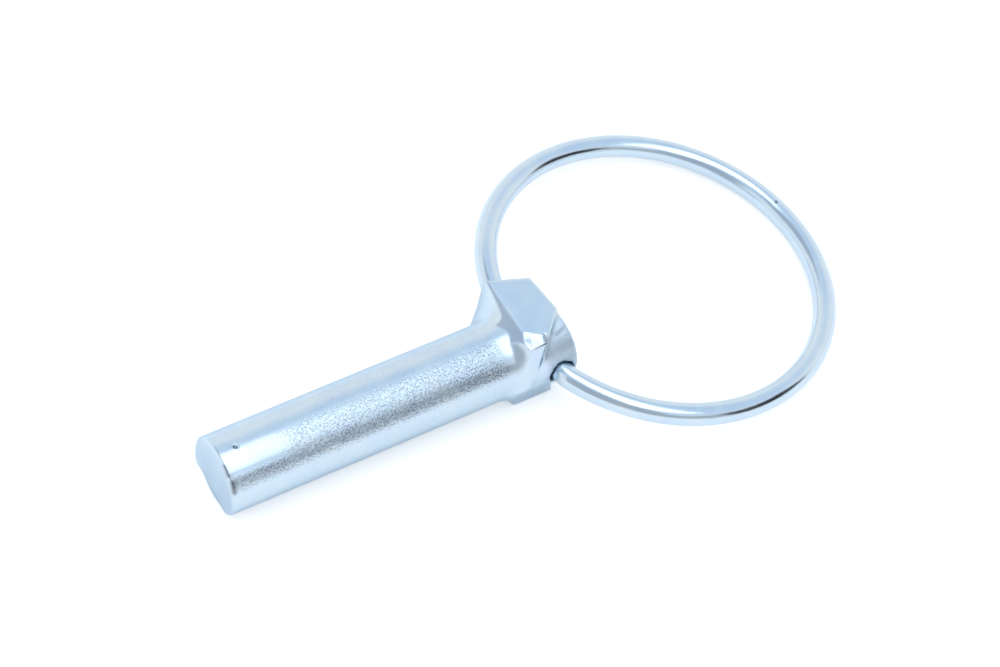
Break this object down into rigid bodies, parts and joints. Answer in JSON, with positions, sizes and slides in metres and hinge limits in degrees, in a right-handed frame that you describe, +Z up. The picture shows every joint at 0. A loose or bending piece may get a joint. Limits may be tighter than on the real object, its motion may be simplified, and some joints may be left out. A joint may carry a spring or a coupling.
{
  "type": "lynch pin",
  "caption": "Forged lynch pin with a round shank, a faceted head and a sprung wire ring that swings over the shank and snaps shut, so the pin can't fall out of its hole.",
  "frame": {"origin": "on the ground, under the middle of the box round the whole object as it lies", "axes": "+X from the shank's tip towards the ring, +Y to the head's long side, +Z up from the ground it lies on"},
  "size_m": [0.0976, 0.0518, 0.0132],
  "materials": {
    "forged_zinc": "bright zinc plate over a forged skin",
    "wire_zinc": "bright zinc plate over drawn wire"
  },
  "bodies": {
    "pin": {"pin_body": "forged_zinc"},
    "ring": {"snap_ring": "wire_zinc"}
  },
  "joints": [
    {"name": "ring_hinge", "type": "hinge", "parent": "pin", "child": "ring", "pos_m": [0.00035, -0.00267, 0.00662], "axis": [-0.1171, 0.9931, -0.0027], "range_deg": [-178.5, 163.7]}
  ]
}
